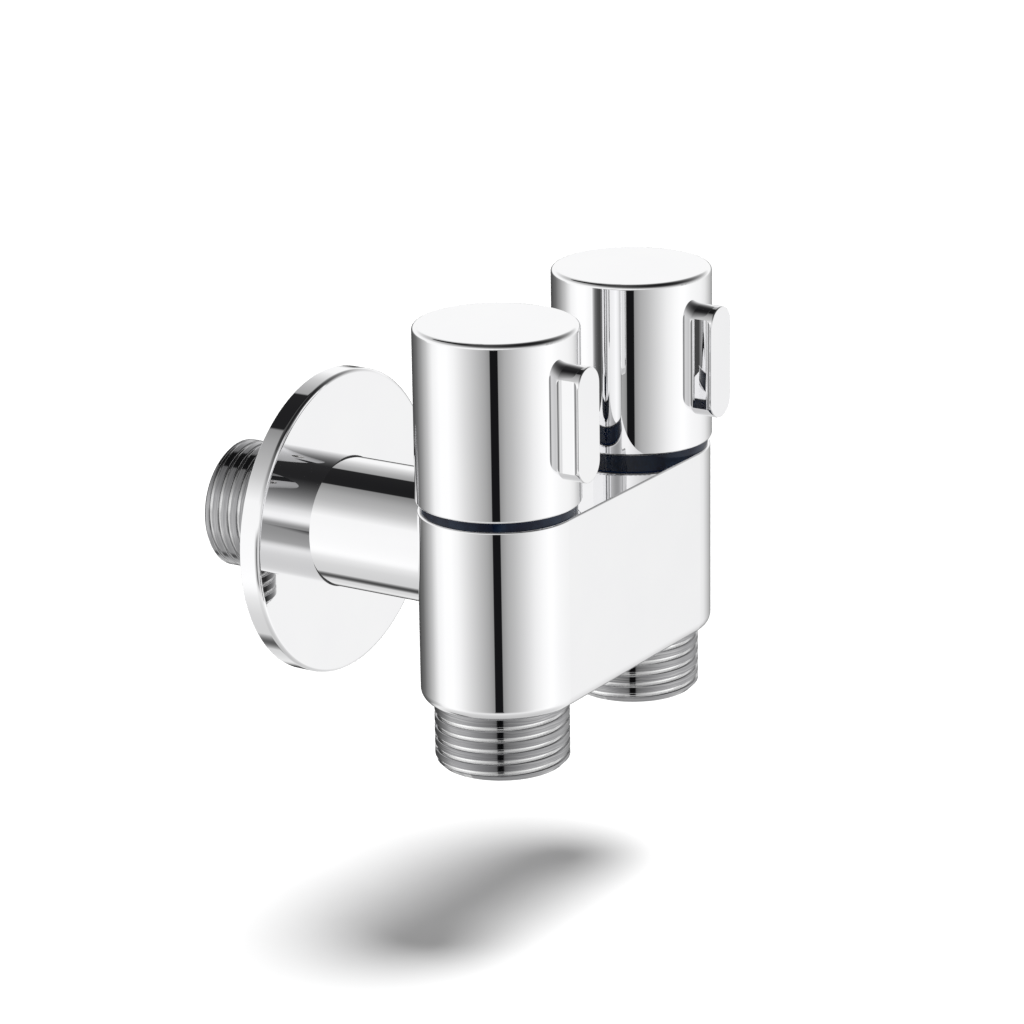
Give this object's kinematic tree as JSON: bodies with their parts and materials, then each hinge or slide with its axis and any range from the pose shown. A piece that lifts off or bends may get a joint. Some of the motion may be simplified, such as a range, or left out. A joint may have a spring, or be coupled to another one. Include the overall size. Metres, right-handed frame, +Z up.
{
  "type": "two-way angle valve",
  "caption": "Chrome two-way angle valve: threaded inlet from the wall, sliding wall flange, and two quarter-turn handles above two threaded outlets.",
  "frame": {"origin": "on the inlet axis where it meets the finished wall, level with the back of the wall flange", "axes": "+Z up, +Y along the inlet axis into the wall, +X along the body's long side, to the right seen from the front; the outlets point down"},
  "size_m": [0.0654, 0.0795, 0.0699],
  "materials": {
    "polished_chrome": "polished",
    "raw_brass": "satin",
    "stainless": "satin",
    "alumina": "satin",
    "black_rubber": "matte",
    "navy_plastic": "gloss",
    "white_plastic": "matte"
  },
  "bodies": {
    "valve": {"valve_body": "polished_chrome", "inlet_tube": "polished_chrome", "tube_seal": "black_rubber", "inlet_strainer": "stainless", "left_headwork": "raw_brass", "left_head_seal": "black_rubber", "left_seat_seal": "black_rubber", "left_fixed_disc": "alumina", "left_glide_ring": "navy_plastic", "right_headwork": "raw_brass", "right_head_seal": "black_rubber", "right_seat_seal": "black_rubber", "right_fixed_disc": "alumina", "right_glide_ring": "navy_plastic"},
    "flange": {"wall_flange": "polished_chrome", "flange_ring": "black_rubber"},
    "left_handle_set": {"left_turning_disc": "alumina", "left_spindle": "raw_brass", "left_spindle_seals": "black_rubber", "left_thrust_washer": "white_plastic", "left_clip": "stainless", "left_handle": "polished_chrome", "left_handle_insert": "white_plastic", "left_grub_screw": "stainless"},
    "right_handle_set": {"right_turning_disc": "alumina", "right_spindle": "raw_brass", "right_spindle_seals": "black_rubber", "right_thrust_washer": "white_plastic", "right_clip": "stainless", "right_handle": "polished_chrome", "right_handle_insert": "white_plastic", "right_grub_screw": "stainless"}
  },
  "joints": [
    {"name": "flange_slide", "type": "slide", "parent": "valve", "child": "flange", "axis": [0, -1, 0], "range_m": [0, 0.029]},
    {"name": "left_handle_turn", "type": "hinge", "parent": "valve", "child": "left_handle_set", "pos_m": [-0.02, -0.0455, 0], "axis": [0, 0, 1], "range_deg": [0, 90]},
    {"name": "right_handle_turn", "type": "hinge", "parent": "valve", "child": "right_handle_set", "pos_m": [0.02, -0.0455, 0], "axis": [0, 0, 1], "range_deg": [0, 90]}
  ]
}
